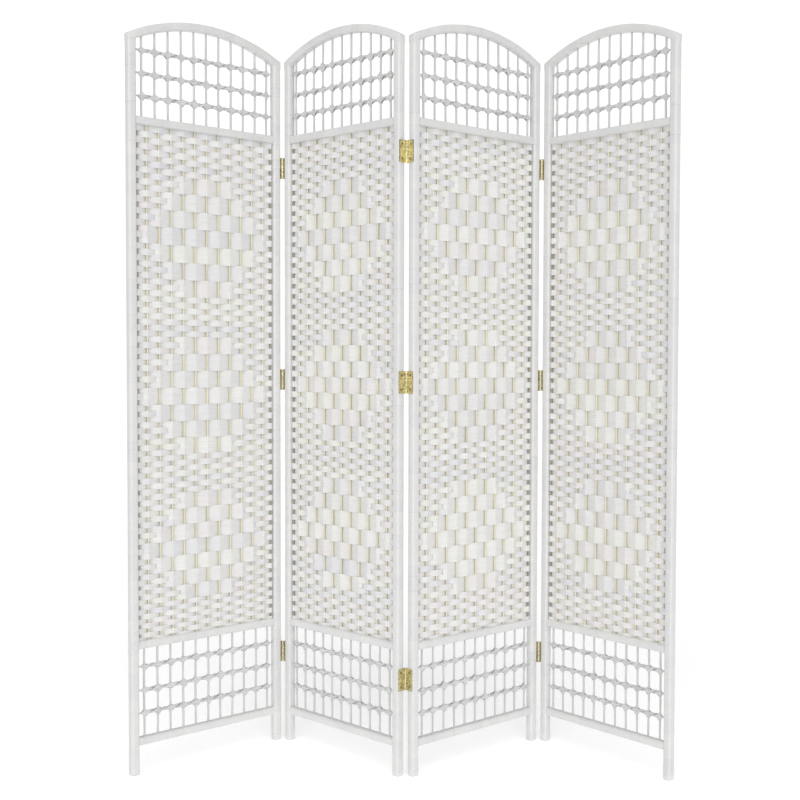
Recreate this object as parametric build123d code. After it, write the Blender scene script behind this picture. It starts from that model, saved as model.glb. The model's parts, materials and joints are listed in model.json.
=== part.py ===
from build123d import *
import math
import os

# A free-standing folding screen: four arched panels of white wound frame and hand-woven field,
# joined by three folds of brass butt hinges. Millimetres, +Z up, front face towards -Y, origin at
# the bottom centre of the box round the screen as it stands in its zig-zag.

# ---- driving dimensions -------------------------------------------------------------------
PANEL_WIDTH = 400.0        # over the outer faces of the two posts
PEAK_HEIGHT = 1700.0       # floor to the top of the arch
ARCH_RISE = 50.0           # top of the arch above its two ends
POST_SIDE = 19.0           # square posts, wound ribbon included
EDGE_RADIUS = 4.0          # rounded long edges of posts, rails and arch
ARCH_THICKNESS = 18.0      # radial height of the arch band
RAIL_HEIGHT = 18.0
RAIL_DEPTH = 17.0
FOOT_RADIUS = 1.5          # eased lower edge of each foot

BOTTOM_RAIL_Z = 66.0       # lower faces of the three rails
LOWER_RAIL_Z = 284.0
TOP_RAIL_Z = 1453.0

STICK_COUNT = 11           # sticks of each lattice, and of the woven field between its edge sticks
STICK_RADIUS = 2.5
WEAVE_STICK_PITCH = 30.6   # the woven field's own sticks stand closer than the lattices'
EDGE_STICK_INSET = 5.0     # edge stick axis from the post's inner face
STICK_SOCKET = 9.0         # blind sockets in the bottom rail and the arch
RAIL_SOCKET = 7.0          # blind sockets in the two rails beside the woven field
DRILL_RUNOUT = 2.0         # a drilled mouth is cut this far past the rail's face
CLEARANCE = 0.05           # radial clearance of every seated stick, pin, nail and screw

BOTTOM_ROWS_Z = (138.0, 189.5, 242.0)      # twined rows of the bottom lattice
TOP_ROWS_Z = (1517.0, 1567.0, 1618.0)      # twined rows of the top lattice
ROW_HEIGHT = 6.0
ROW_DEPTH = 9.0
WEAVE_DEPTH = 11.0
SIDE_GAP = 0.2             # weave and twined rows stop this far from posts and rails

NAIL_RADIUS = 1.1
NAIL_LENGTH = 31.0
NAIL_HEAD_RADIUS = 2.2
NAIL_HEAD_HEIGHT = 1.2
NAIL_SINK = 1.0            # nail heads lie this far under the wound surface
ARCH_NAIL_LENGTH = 42.0

# resting zig-zag: the angle of each panel to the line of the screen, and for each fold the side
# that its pins are on, -1 for the front and +1 for the back
PANEL_YAWS = (44.3, -41.9, 43.9, -46.3)
FOLD_SIDES = (-1, 1, -1)

HINGE_CENTRES_Z = (219.0, 885.0, 1395.0)
HINGE_HEIGHT = 50.0
HINGE_GAP = 4.4            # between the posts when two panels stand in line
LEAF_THICKNESS = 1.6
LEAF_WIDTH = 18.0          # from the post's face at the pin to the leaf's free edge
LEAF_CORNER = 2.0
BARREL_RADIUS = 3.2
PIN_RADIUS = 1.55
PIN_CHAMFER = 0.3
PIN_OFFSET = 3.2           # pin axis beyond the post's face
KNUCKLE_GAP = 0.2          # between the two knuckles, and round a knuckle in the other leaf
SCREW_SPACING = 32.0
SCREW_RADIUS = 1.4
SCREW_LENGTH = 12.0
SCREW_TIP_RADIUS = 0.2
SCREW_HEAD_RADIUS = 2.8
RECESS_WIDTH = 0.7
RECESS_LENGTH = 3.0
RECESS_DEPTH = 0.9

# ---- worked out from them -----------------------------------------------------------------
HALF = POST_SIDE / 2
INNER_WIDTH = PANEL_WIDTH - 2 * POST_SIDE
STICK_PITCH = INNER_WIDTH / STICK_COUNT
ARCH_RADIUS = ((PANEL_WIDTH / 2) ** 2 + ARCH_RISE**2) / (2 * ARCH_RISE)
ARCH_CENTRE_Z = PEAK_HEIGHT - ARCH_RADIUS
ARCH_INNER_RADIUS = ARCH_RADIUS - ARCH_THICKNESS
PIN_Y = HALF + PIN_OFFSET
SOCKET_RADIUS = STICK_RADIUS + CLEARANCE
RAILS_Z = {"top_rail": TOP_RAIL_Z, "lower_rail": LOWER_RAIL_Z, "bottom_rail": BOTTOM_RAIL_Z}


def arc_height(radius, x):
    """Height, at x across the panel, of a circle struck from the arch's centre."""
    return ARCH_CENTRE_Z + math.sqrt(radius**2 - (x - PANEL_WIDTH / 2) ** 2)


def stick_positions():
    """Places across the panel of the lattice sticks, half a pitch in from each post."""
    return [POST_SIDE + STICK_PITCH * (i + 0.5) for i in range(STICK_COUNT)]


def weave_stick_positions():
    """Places across the panel of the woven field's sticks, with an edge stick beside each post."""
    inset = POST_SIDE + EDGE_STICK_INSET
    first = PANEL_WIDTH / 2 - WEAVE_STICK_PITCH * (STICK_COUNT - 1) / 2
    between = [first + WEAVE_STICK_PITCH * i for i in range(STICK_COUNT)]
    return [inset] + between + [PANEL_WIDTH - inset]


def upright(x, low, high, radius):
    """A round bar standing on the panel's middle plane."""
    return Pos(x, 0, low) * extrude(Circle(radius), high - low)


def crossbar(start, length, radius, z):
    """A round bar along X from start; a negative length runs towards -X."""
    return Pos(start, 0, z) * extrude(Plane.YZ * Circle(radius), length)


# ---- where the panels stand ---------------------------------------------------------------
def turned(point, yaw):
    angle = math.radians(yaw)
    x = point[0] * math.cos(angle) - point[1] * math.sin(angle)
    y = point[0] * math.sin(angle) + point[1] * math.cos(angle)
    return x, y


def panel_corners():
    """Plan positions of the centres of a panel's four rounded outer corners."""
    across = (EDGE_RADIUS, PANEL_WIDTH - EDGE_RADIUS)
    deep = (EDGE_RADIUS - HALF, HALF - EDGE_RADIUS)
    return [(x, y) for x in across for y in deep]


def panel_places():
    """Each panel's origin and yaw, with the pins of each fold shared by its two panels."""
    places = [(0.0, 0.0, PANEL_YAWS[0])]
    for side, yaw in zip(FOLD_SIDES, PANEL_YAWS[1:]):
        x, y, last_yaw = places[-1]
        out = turned((PANEL_WIDTH + HINGE_GAP / 2, side * PIN_Y), last_yaw)
        back = turned((-HINGE_GAP / 2, side * PIN_Y), yaw)
        places.append((x + out[0] - back[0], y + out[1] - back[1], yaw))
    xs = []
    ys = []
    for x, y, yaw in places:
        for corner in panel_corners():
            dx, dy = turned(corner, yaw)
            xs.append(x + dx)
            ys.append(y + dy)
    mid_x = (min(xs) + max(xs)) / 2
    mid_y = (min(ys) + max(ys)) / 2
    return [(x - mid_x, y - mid_y, yaw) for x, y, yaw in places]


# ---- frame of one panel, in the panel's own frame -----------------------------------------
def nail(length):
    """A nail along +X with its head at the origin."""
    head = extrude(Plane.YZ * Circle(NAIL_HEAD_RADIUS), NAIL_HEAD_HEIGHT)
    return head + extrude(Plane.YZ * Circle(NAIL_RADIUS), length)


def nail_hole(length):
    """The hole for that nail, open above the head."""
    head = extrude(Plane.YZ * Circle(NAIL_HEAD_RADIUS + CLEARANCE), NAIL_HEAD_HEIGHT + CLEARANCE)
    mouth = extrude(Plane.YZ * Circle(NAIL_HEAD_RADIUS + CLEARANCE), -2 * NAIL_SINK)
    return head + mouth + extrude(Plane.YZ * Circle(NAIL_RADIUS + CLEARANCE), length + CLEARANCE)


def nail_spots():
    """Where the eight nails of a panel start, and their length."""
    spots = []
    for low in RAILS_Z.values():
        z = low + RAIL_HEIGHT / 2
        spots.append((Pos(NAIL_SINK, 0, z), NAIL_LENGTH))
        spots.append((Pos(PANEL_WIDTH - NAIL_SINK, 0, z) * Rot(0, 0, 180), NAIL_LENGTH))
    top = arc_height(ARCH_RADIUS, HALF) - NAIL_SINK
    for x in (HALF, PANEL_WIDTH - HALF):
        spots.append((Pos(x, 0, top) * Rot(0, 90, 0), ARCH_NAIL_LENGTH))
    return spots


def drilled_for_nails(shape):
    for spot, length in nail_spots():
        shape = shape - spot * nail_hole(length)
    return shape


def under_arch(shape):
    """Cuts a shape off where the arch's underside passes over it."""
    above = Box(2 * PANEL_WIDTH, 4 * POST_SIDE, ARCH_RADIUS)
    above = Pos(PANEL_WIDTH / 2, 0, ARCH_CENTRE_Z + ARCH_RADIUS / 2) * above
    disc = extrude(Plane.XZ * Circle(ARCH_INNER_RADIUS), 2 * POST_SIDE, both=True)
    return shape - (above - Pos(PANEL_WIDTH / 2, 0, ARCH_CENTRE_Z) * disc)


def hinge_screw_heights():
    """Heights of the hinge screws in one post."""
    return [centre + half * SCREW_SPACING for centre in HINGE_CENTRES_Z for half in (-0.5, 0.5)]


def post(x, hinged):
    """A post from the floor to the arch; hinged is -1 or +1 towards its hinges, or 0."""
    body = Pos(x, 0, 0) * extrude(RectangleRounded(POST_SIDE, POST_SIDE, EDGE_RADIUS), PEAK_HEIGHT)
    body = fillet(body.faces().sort_by(Axis.Z)[0].edges(), FOOT_RADIUS)
    body = drilled_for_nails(under_arch(body))
    if hinged:
        face = x + hinged * HALF
        depth = SCREW_LENGTH - LEAF_THICKNESS + 1.0
        for z in hinge_screw_heights():
            body = body - crossbar(face, -hinged * depth, SCREW_RADIUS + CLEARANCE, z)
    return body


def arch():
    """The bent band over both posts, ending flush with their outer faces."""
    middle = ARCH_RADIUS - ARCH_THICKNESS / 2
    section = Plane.XY * Pos(middle, 0) * RectangleRounded(ARCH_THICKNESS, POST_SIDE, EDGE_RADIUS)
    ring = revolve(section, Axis.Y, revolution_arc=360)
    outline = extrude(RectangleRounded(PANEL_WIDTH, POST_SIDE, EDGE_RADIUS), ARCH_RADIUS)
    band = (Pos(0, 0, ARCH_CENTRE_Z) * ring) & (Pos(0, 0, ARCH_CENTRE_Z) * outline)
    band = Pos(PANEL_WIDTH / 2, 0, 0) * band
    for x in stick_positions():
        low = arc_height(ARCH_INNER_RADIUS, x)
        band = band - upright(x, low - STICK_SOCKET, low + STICK_SOCKET, SOCKET_RADIUS)
    return drilled_for_nails(band)


def rail(low, sockets):
    """A rail between the posts. sockets is a list of (x, from, to) holes for the sticks."""
    section = Plane.YZ * RectangleRounded(RAIL_DEPTH, RAIL_HEIGHT, EDGE_RADIUS)
    body = Pos(POST_SIDE, 0, low + RAIL_HEIGHT / 2) * extrude(section, INNER_WIDTH)
    for x, start, end in sockets:
        body = body - upright(x, start, end, SOCKET_RADIUS)
    return drilled_for_nails(body)


def rails():
    """The three rails by name, with blind sockets for the sticks that end in them."""
    shapes = {}
    for name, low in RAILS_Z.items():
        high = low + RAIL_HEIGHT
        above = []
        below = []
        if name == "bottom_rail":
            above = [(x, high - STICK_SOCKET, high + DRILL_RUNOUT) for x in stick_positions()]
        if name == "lower_rail":
            above = [(x, high - RAIL_SOCKET, high + DRILL_RUNOUT) for x in weave_stick_positions()]
            below = [(x, low - DRILL_RUNOUT, low + RAIL_SOCKET) for x in stick_positions()]
        if name == "top_rail":
            above = [(x, high - RAIL_SOCKET, high + DRILL_RUNOUT) for x in stick_positions()]
            below = [(x, low - DRILL_RUNOUT, low + RAIL_SOCKET) for x in weave_stick_positions()]
        shapes[name] = rail(low, above + below)
    return shapes


# ---- sticks, woven field and lattices -----------------------------------------------------
def lattice_sticks():
    """Eleven sticks in each lattice, from rail to rail and from rail to arch."""
    bars = []
    for x in stick_positions():
        foot = BOTTOM_RAIL_Z + RAIL_HEIGHT - STICK_SOCKET + CLEARANCE
        head = LOWER_RAIL_Z + RAIL_SOCKET - CLEARANCE
        bars.append(upright(x, foot, head, STICK_RADIUS))
    for x in stick_positions():
        foot = TOP_RAIL_Z + RAIL_HEIGHT - RAIL_SOCKET + CLEARANCE
        head = arc_height(ARCH_INNER_RADIUS, x) + STICK_SOCKET - CLEARANCE
        bars.append(upright(x, foot, head, STICK_RADIUS))
    return bars


def weave_sticks():
    """The woven field's eleven sticks and the edge sticks that its rows turn round."""
    low = LOWER_RAIL_Z + RAIL_HEIGHT - RAIL_SOCKET + CLEARANCE
    high = TOP_RAIL_Z + RAIL_SOCKET - CLEARANCE
    return [upright(x, low, high, STICK_RADIUS) for x in weave_stick_positions()]


def woven_band(low, high, depth, stick_xs):
    """A flat band between the posts with a channel for each stick."""
    width = INNER_WIDTH - 2 * SIDE_GAP
    band = Pos(PANEL_WIDTH / 2, 0, (low + high) / 2) * Box(width, depth, high - low)
    for x in stick_xs:
        band = band - upright(x, low - DRILL_RUNOUT, high + DRILL_RUNOUT, SOCKET_RADIUS)
    return band


def weave():
    low = LOWER_RAIL_Z + RAIL_HEIGHT + SIDE_GAP
    high = TOP_RAIL_Z - SIDE_GAP
    return woven_band(low, high, WEAVE_DEPTH, weave_stick_positions())


def lattice_rows():
    """Three twined rows round the sticks of each lattice."""
    half = ROW_HEIGHT / 2
    rows_z = BOTTOM_ROWS_Z + TOP_ROWS_Z
    return [woven_band(z - half, z + half, ROW_DEPTH, stick_positions()) for z in rows_z]


def rail_nails():
    return [spot * nail(length) for spot, length in nail_spots()]


# ---- butt hinge, in its own frame: pin axis on Z, the posts towards +Y ----------------------
def knuckle_span(part):
    """Lower and upper end of the left (lower) or right (upper) knuckle."""
    half = HINGE_HEIGHT / 2
    if part == "left":
        return -half, -KNUCKLE_GAP / 2
    return KNUCKLE_GAP / 2, half


def round_bar(low, high, radius):
    return Pos(0, 0, low) * extrude(Circle(radius), high - low)


def countersink():
    """Hole for one screw in a leaf, along -X from the leaf's open surface at the origin."""
    depth = SCREW_HEAD_RADIUS - SCREW_RADIUS
    wide = SCREW_HEAD_RADIUS + CLEARANCE
    narrow = SCREW_RADIUS + CLEARANCE
    cone = Pos(-depth / 2, 0, 0) * Rot(0, 90, 0) * Cone(narrow, wide, depth)
    return cone + extrude(Plane.YZ * Circle(narrow), -2 * LEAF_THICKNESS)


def screw():
    """A countersunk screw along -X, with its head's face at the origin."""
    depth = SCREW_HEAD_RADIUS - SCREW_RADIUS
    head = Pos(-depth / 2, 0, 0) * Rot(0, 90, 0) * Cone(SCREW_RADIUS, SCREW_HEAD_RADIUS, depth)
    straight = SCREW_LENGTH - 2 * SCREW_RADIUS
    shank = extrude(Plane.YZ * Circle(SCREW_RADIUS), -straight)
    point = Cone(SCREW_TIP_RADIUS, SCREW_RADIUS, 2 * SCREW_RADIUS)
    tip = Pos(-straight - SCREW_RADIUS, 0, 0) * Rot(0, 90, 0) * point
    slot = Box(2 * RECESS_DEPTH, RECESS_WIDTH, RECESS_LENGTH)
    cross = Box(2 * RECESS_DEPTH, RECESS_LENGTH, RECESS_WIDTH)
    return head + shank + tip - slot - cross


def screw_spots():
    """Places of the two screws of a left leaf, on its open surface."""
    surface = LEAF_THICKNESS - HINGE_GAP / 2
    return [Pos(surface, PIN_Y, half * SCREW_SPACING) for half in (-0.5, 0.5)]


def left_leaf(part):
    """A leaf on the -X side with its knuckle; part says which knuckle it carries."""
    reach = PIN_OFFSET + LEAF_WIDTH
    plate = Box(LEAF_THICKNESS, reach, HINGE_HEIGHT)
    edge = plate.faces().sort_by(Axis.Y)[-1].edges().filter_by(Axis.X)
    plate = fillet(edge, LEAF_CORNER)
    plate = Pos((LEAF_THICKNESS - HINGE_GAP) / 2, reach / 2, 0) * plate
    low, high = knuckle_span(part)
    other_low, other_high = knuckle_span("right" if part == "left" else "left")
    clear = BARREL_RADIUS + KNUCKLE_GAP
    plate = plate - round_bar(other_low - KNUCKLE_GAP, other_high + KNUCKLE_GAP, clear)
    leaf = plate + round_bar(low, high, BARREL_RADIUS)
    leaf = leaf - round_bar(low - DRILL_RUNOUT, high + DRILL_RUNOUT, PIN_RADIUS + CLEARANCE)
    for spot in screw_spots():
        leaf = leaf - spot * countersink()
    return leaf


def hinge_parts(part):
    """The leaf and screws on the -X side."""
    return left_leaf(part), [spot * screw() for spot in screw_spots()]


def hinge_pin():
    half = HINGE_HEIGHT / 2
    pin = round_bar(-half, half, PIN_RADIUS)
    ends = pin.edges().filter_by(GeomType.CIRCLE)
    return chamfer(ends, PIN_CHAMFER)


# ---- assembly -------------------------------------------------------------------------------
def panel_frame(place):
    x, y, yaw = place
    return Location((x, y, 0), (0, 0, yaw))


def export_node(name, solids):
    shape = solids[0] if len(solids) == 1 else Compound(children=solids)
    export_step(shape, os.path.join("parts", name + ".step"))
    print(name, len(solids))


def export_panel(index, frame):
    """Writes the eleven nodes of one panel. Inner posts carry hinge screws on their outer face."""
    left_side = -1 if index > 0 else 0
    right_side = 1 if index < len(PANEL_YAWS) - 1 else 0
    parts = {
        "left_post": [post(HALF, left_side)],
        "right_post": [post(PANEL_WIDTH - HALF, right_side)],
        "arch": [arch()],
        "lattice_sticks": lattice_sticks(),
        "weave_sticks": weave_sticks(),
        "weave": [weave()],
        "lattice_rows": lattice_rows(),
        "rail_nails": rail_nails(),
    }
    for name, shape in rails().items():
        parts[name] = [shape]
    for name, solids in parts.items():
        export_node(f"panel_{index + 1}_{name}", [frame * solid for solid in solids])


def export_fold(index, left_frame, right_frame):
    """Writes the five nodes of one fold: three hinges, each with its leaves, pin and screws."""
    side = FOLD_SIDES[index]
    left_leaf_shape, left_screw_shapes = hinge_parts("left")
    right_leaf_shape, right_screw_shapes = hinge_parts("right")
    right_leaf_shape = mirror(right_leaf_shape, Plane.YZ)
    right_screw_shapes = [mirror(shape, Plane.YZ) for shape in right_screw_shapes]
    groups = {"left_leaves": [], "right_leaves": [], "pins": [], "left_screws": [], "right_screws": []}
    for z in HINGE_CENTRES_Z:
        left = left_frame * Pos(PANEL_WIDTH + HINGE_GAP / 2, side * PIN_Y, z)
        right = right_frame * Pos(-HINGE_GAP / 2, side * PIN_Y, z)
        flip = side > 0
        groups["left_leaves"].append(left * faced(left_leaf_shape, flip))
        groups["right_leaves"].append(right * faced(right_leaf_shape, flip))
        groups["pins"].append(left * hinge_pin())
        groups["left_screws"] += [left * faced(shape, flip) for shape in left_screw_shapes]
        groups["right_screws"] += [right * faced(shape, flip) for shape in right_screw_shapes]
    for name, solids in groups.items():
        export_node(f"fold_{index + 1}_{name}", solids)


def faced(shape, flip):
    """A hinge part made for pins at the front, turned for pins at the back when flip is true."""
    return mirror(shape, Plane.XZ) if flip else shape


def main():
    os.makedirs("parts", exist_ok=True)
    frames = [panel_frame(place) for place in panel_places()]
    for index, frame in enumerate(frames):
        export_panel(index, frame)
    for index in range(len(FOLD_SIDES)):
        export_fold(index, frames[index], frames[index + 1])
    for index, place in enumerate(panel_places()):
        print("panel", index + 1, [round(value, 3) for value in place])


main()
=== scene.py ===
import json
import math
import random

import bpy
import numpy as np
from mathutils import Matrix, Vector


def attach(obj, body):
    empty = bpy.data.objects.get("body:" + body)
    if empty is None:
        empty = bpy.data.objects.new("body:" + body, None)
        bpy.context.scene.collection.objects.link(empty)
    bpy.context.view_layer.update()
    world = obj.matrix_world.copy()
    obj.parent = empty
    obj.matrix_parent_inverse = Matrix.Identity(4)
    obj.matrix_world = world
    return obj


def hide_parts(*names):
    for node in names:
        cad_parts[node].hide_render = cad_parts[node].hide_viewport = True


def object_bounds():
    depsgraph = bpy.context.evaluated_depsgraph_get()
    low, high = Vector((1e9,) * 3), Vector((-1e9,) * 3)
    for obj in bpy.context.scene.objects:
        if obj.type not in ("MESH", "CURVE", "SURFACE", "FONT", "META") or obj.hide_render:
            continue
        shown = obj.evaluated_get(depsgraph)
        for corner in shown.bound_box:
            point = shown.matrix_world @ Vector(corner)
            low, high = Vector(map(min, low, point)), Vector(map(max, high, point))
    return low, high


# The looks of a folding screen: four panels of ribbon-wound frame, twined lattices and a woven
# paper field with three diamonds, on brass hinges. Metres; a panel's own frame has x across from
# the left post's axis, y to the back and z up.

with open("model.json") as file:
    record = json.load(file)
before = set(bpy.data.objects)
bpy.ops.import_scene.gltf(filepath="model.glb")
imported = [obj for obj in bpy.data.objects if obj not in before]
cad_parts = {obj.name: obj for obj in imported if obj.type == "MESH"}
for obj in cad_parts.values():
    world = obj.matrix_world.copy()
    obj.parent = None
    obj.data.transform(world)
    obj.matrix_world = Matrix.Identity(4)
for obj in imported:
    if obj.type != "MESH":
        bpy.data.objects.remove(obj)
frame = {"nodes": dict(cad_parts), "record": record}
cad_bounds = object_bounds()

MM = 0.001
PANELS = (1, 2, 3, 4)
FOLDS = (1, 2, 3)
SEED = 700                    # a panel's number is added to it
SHARP_ANGLE = 42              # degrees from which an edge of a mesh isn't shaded smooth

# ---- driving sizes of the looks ---------------------------------------------------------------
ARCH_THICKNESS = 18 * MM
EDGE_RADIUS = 4 * MM          # rounded long edges of posts, rails and arch
CORNER_STEPS = 4              # faces round each of those edges
EASE_ANGLES = (90, 60, 30, 0)    # degrees round an eased end, from the outermost ring inwards
EASE_LIMIT = 2 * MM           # an eased end shrinks the edge radius by no more than this
FOOT_EASE = 2.2 * MM          # eased lower edge of a foot
ARCH_END_EASE = 1.2 * MM
ARCH_END_POWER = 6            # how suddenly the arch's sections turn upright at its ends
EMBED = 0.6 * MM              # a member ends this far inside the one it meets
POST_EMBED = 2.5 * MM
STICK_EMBED = 3 * MM

TURN_PITCH = 27 * MM          # the ribbon wound round posts, rails and arch
FIRST_TURN = (0.4, 1)         # share of a pitch before the first seam
TURN_SPREAD = (0.7, 1.35)     # shares of a pitch between two seams
SEAM_RISE = 0.2 * MM          # length over which one turn steps up on the last
SEAM_LEAD = 0.8 * MM          # flat support beside that step
SEAM_STEP_LOW = 0.06 * MM
SEAM_STEP_HIGH = 0.6 * MM
SEAM_RARITY = 3               # the higher it is, the fewer steps are high
SEAM_SHARES = (-0.3, 0.7, 0.5)   # of the step: dip before it, crest on it, level after it
SEAM_TILT = 0.12              # tangent of a seam's greatest slant
LAST_TURN = 24 * MM           # no turn starts this close to the far end

STICK_SIDES = 10
STICK_RING = 28 * MM          # the rings of a stick's mesh lie about this far apart
STICK_RINGS = 8               # and there are at least so many
STICK_BENDS = (7, 14)         # radians to the metre of a stick's bends
STICK_DEPTH_SHARE = 0.4       # bends to the front and back against those to the sides
STICK_THIN = 0.96             # mean radius against the CAD stick's
STICK_UNEVEN = 0.05
STICK_SWELLS = 30             # radians to the metre of its thicker and thinner places
LATTICE_WOBBLE = 0.9 * MM
WEAVE_WOBBLE = 0.4 * MM

STICK_COUNT = 11              # in each lattice, and in the woven field between its edge sticks
WEAVE_STICK_PITCH = 30.6 * MM
ROW_COUNT = 93                # narrow rows in the whole woven field, or their height in wide ones
LAST_ROW_SHARE = 0.5          # the last row is squeezed against the rail
DIAMOND_STARTS = (8, 36, 64)  # narrow rows above each diamond
WIDE_SHARE = 3                # one wide row is as high as this many narrow ones
END_REACH = 2                 # sticks from a wide row's last tile to where the narrow rows turn
DIAMOND_HALVES = (0, 1, 2, 3, 2, 1, 0)   # wide tiles each side of the middle one, in half steps
BUNCHING = {1: 0.22, 2: 0, 3: 0, 4: 0.01}    # how much closer a panel's bottom rows lie
BUNCHING_POWER = 4            # how late on the way down they begin to
TURNS_UP = {1: -1, 2: 1, 3: 1, 4: -1}        # which way the rows turn at a panel's left edge
ROW_SWING = 2.95 * MM         # how far a narrow ribbon's middle stands off the sticks' plane
WIDE_SWING = 3.0 * MM         # the same of a wide one
SWING_SPREAD = (0.93, 1.07)   # shares of it from stick to stick
RIBBON_HALF = 0.27 * MM       # half the thickness of a paper ribbon
HEM_HALF = 0.5 * MM           # half the thickness of its folded edges
ROLLED_HALF = 2.3 * MM        # half the thickness of a strand that is rolled up
TAIL = (5 * MM, 0.4)          # length past its last stick of a narrow row's end, and its drop
WIDE_TAIL = (10 * MM, 1.15)   # the same of a wide row, whose end is tucked between narrow ones

ROW_FANS = (19 * MM, 15 * MM)    # heights of the front ribbon at one stick and at the next
ROW_NECK = 5.8 * MM           # a twined ribbon's width between two sticks
ROW_FAN_REACH = 6.2 * MM      # how far from a stick its fan has mostly closed
ROW_SAG = 0.9 * MM            # how much lower a fan hangs than the row
ROW_LUMPS = (120, 420)        # radians to the metre of a row's lumps
ROW_LUMP_WIDTH = 0.09         # share of the ribbon's width
ROW_LUMP_HEIGHT = 0.25 * MM
ROW_DRIFT = 0.5 * MM
ROW_LEVEL_SPREAD = 1 * MM     # a whole row is up to this much too high or low
ROW_REACH = 3.1 * MM          # off the sticks' plane where it passes a stick
ROW_RISE = 2.0 * MM           # above or below the row's middle where the two ribbons cross
ROW_REST = 0.14               # share of a pitch beside a stick where the ribbon doesn't turn
ROW_FAN_SPREAD = (0.85, 1.15)
ROW_ROLL_REACH = 1.6          # fan reaches from a stick at which the ribbon is rolled up
ROW_CROWN = 0.25              # how much nearer the sticks' plane a fan's edges lie
ROW_STEPS = 14                # points from one stick to the next
ROW_END_STEPS = 6             # and from a post to its first stick
LOOSE_PITCH = 0.3             # share of a pitch past the last stick where the ribbons lie together
LOOSE_REACH = 0.75            # what they lose there of their distance off the sticks' plane
LOOSE_RISE = 0.6              # and of their distance from the row's middle
LOOSE_ROLL = 0.6              # and of their roll
LOOSE_WIDTH = 2.4 * MM


# ---- what the frame says ----------------------------------------------------------------------
mounts = {mount["name"]: Vector(mount["pos_m"]) for mount in frame["record"]["mounts"]}


def panel_matrix(number):
    """The panel's own frame in the row frame, with its origin under the left post's axis."""
    left = mounts[f"panel_{number}_left_foot"]
    along = (mounts[f"panel_{number}_right_foot"] - left).normalized()
    back = Vector((-along.y, along.x, 0))
    columns = (along, back, Vector((0, 0, 1)))
    matrix = Matrix(columns).transposed().to_4x4()
    matrix.translation = left
    return matrix


def local_box(part):
    """Lowest and highest corner of one of panel 1's nodes, in the panel's own frame."""
    to_panel = panel_matrix(1).inverted()
    points = [to_panel @ v.co for v in frame["nodes"][f"panel_1_{part}"].data.vertices]
    low = Vector([min(p[axis] for p in points) for axis in range(3)])
    high = Vector([max(p[axis] for p in points) for axis in range(3)])
    return low, high


def row_heights():
    """Middle heights of the twined rows, from the levels of their CAD bands."""
    vertices = frame["nodes"]["panel_1_lattice_rows"].data.vertices
    levels = sorted({round(v.co.z, 4) for v in vertices})
    return [(low + high) / 2 for low, high in zip(levels[::2], levels[1::2])]


SPAN = (mounts["panel_1_right_foot"] - mounts["panel_1_left_foot"]).length
MIDDLE = SPAN / 2
HALF_POST = local_box("left_post")[1].x
HALF_WIDTH = MIDDLE + HALF_POST
ARCH_LOW, ARCH_HIGH = local_box("arch")
ARCH_DROP = ARCH_HIGH.z - ARCH_LOW.z
ARCH_RADIUS = ((HALF_WIDTH**2 + ARCH_DROP**2 - ARCH_THICKNESS**2)
               / (2 * (ARCH_DROP - ARCH_THICKNESS)))
ARCH_CENTRE_Z = ARCH_HIGH.z - ARCH_RADIUS
RAIL_BOXES = {name: local_box(name) for name in ("bottom_rail", "lower_rail", "top_rail")}
BOTTOM_RAIL, LOWER_RAIL, TOP_RAIL = RAIL_BOXES.values()
LATTICE_LOW, LATTICE_HIGH = local_box("lattice_sticks")
STICK_RADIUS = LATTICE_HIGH.y
LATTICE_XS = np.linspace(LATTICE_LOW.x + STICK_RADIUS, LATTICE_HIGH.x - STICK_RADIUS, STICK_COUNT)
FIELD_LOW, FIELD_HIGH = local_box("weave")
FIELD_STICKS_LOW, FIELD_STICKS_HIGH = local_box("weave_sticks")


def weave_xs():
    """Places of the woven field's sticks, edge sticks first and last."""
    reach = WEAVE_STICK_PITCH * (STICK_COUNT - 1) / 2
    between = np.linspace(MIDDLE - reach, MIDDLE + reach, STICK_COUNT)
    first = FIELD_STICKS_LOW.x + STICK_RADIUS
    last = FIELD_STICKS_HIGH.x - STICK_RADIUS
    return np.concatenate(([first], between, [last]))


WEAVE_XS = weave_xs()


def arch_underside(x):
    """Height of the arch's underside at x across the panel."""
    return ARCH_CENTRE_Z + np.sqrt((ARCH_RADIUS - ARCH_THICKNESS) ** 2 - (x - MIDDLE) ** 2)


# ---- building meshes --------------------------------------------------------------------------
class Net:
    """Closed skins of one piece, with the coordinates that its material reads at each point."""

    def __init__(self):
        self.count = 0
        self.faces = []
        self.points = []
        self.fibre = []
        self.seed = []
        self.edge = []

    def skin(self, rings, fibre, seed, edge):
        """Adds a skin through rings of points, closed round each ring and capped at both ends."""
        number, around = rings.shape[:2]
        self.faces += ring_faces(number, around, self.count)
        self.points.append(rings.reshape(-1, 3))
        self.fibre.append(fibre.reshape(-1, 3))
        self.seed.append(np.broadcast_to(seed, (number, around)).reshape(-1))
        self.edge.append(np.broadcast_to(edge, (number, around)).reshape(-1))
        self.count += number * around


def ring_faces(number, around, start):
    """Faces between a number of rings of points, and one across each end, from point start on."""
    ring = np.arange(number - 1)[:, None] * around
    point = np.arange(around)[None, :]
    after = (point + 1) % around
    corners = (ring + point, ring + after, ring + around + after, ring + around + point)
    quads = np.stack(corners, axis=-1)
    first = (start + np.arange(around)[::-1]).tolist()
    last = (start + (number - 1) * around + np.arange(around)).tolist()
    return (quads.reshape(-1, 4) + start).tolist() + [first, last]


def add_attribute(mesh, name, kind, field, values):
    """Gives every point of the mesh a value that its material reads by name."""
    attribute = mesh.attributes.new(name, kind, "POINT")
    attribute.data.foreach_set(field, values.astype(np.float32).ravel())


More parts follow.
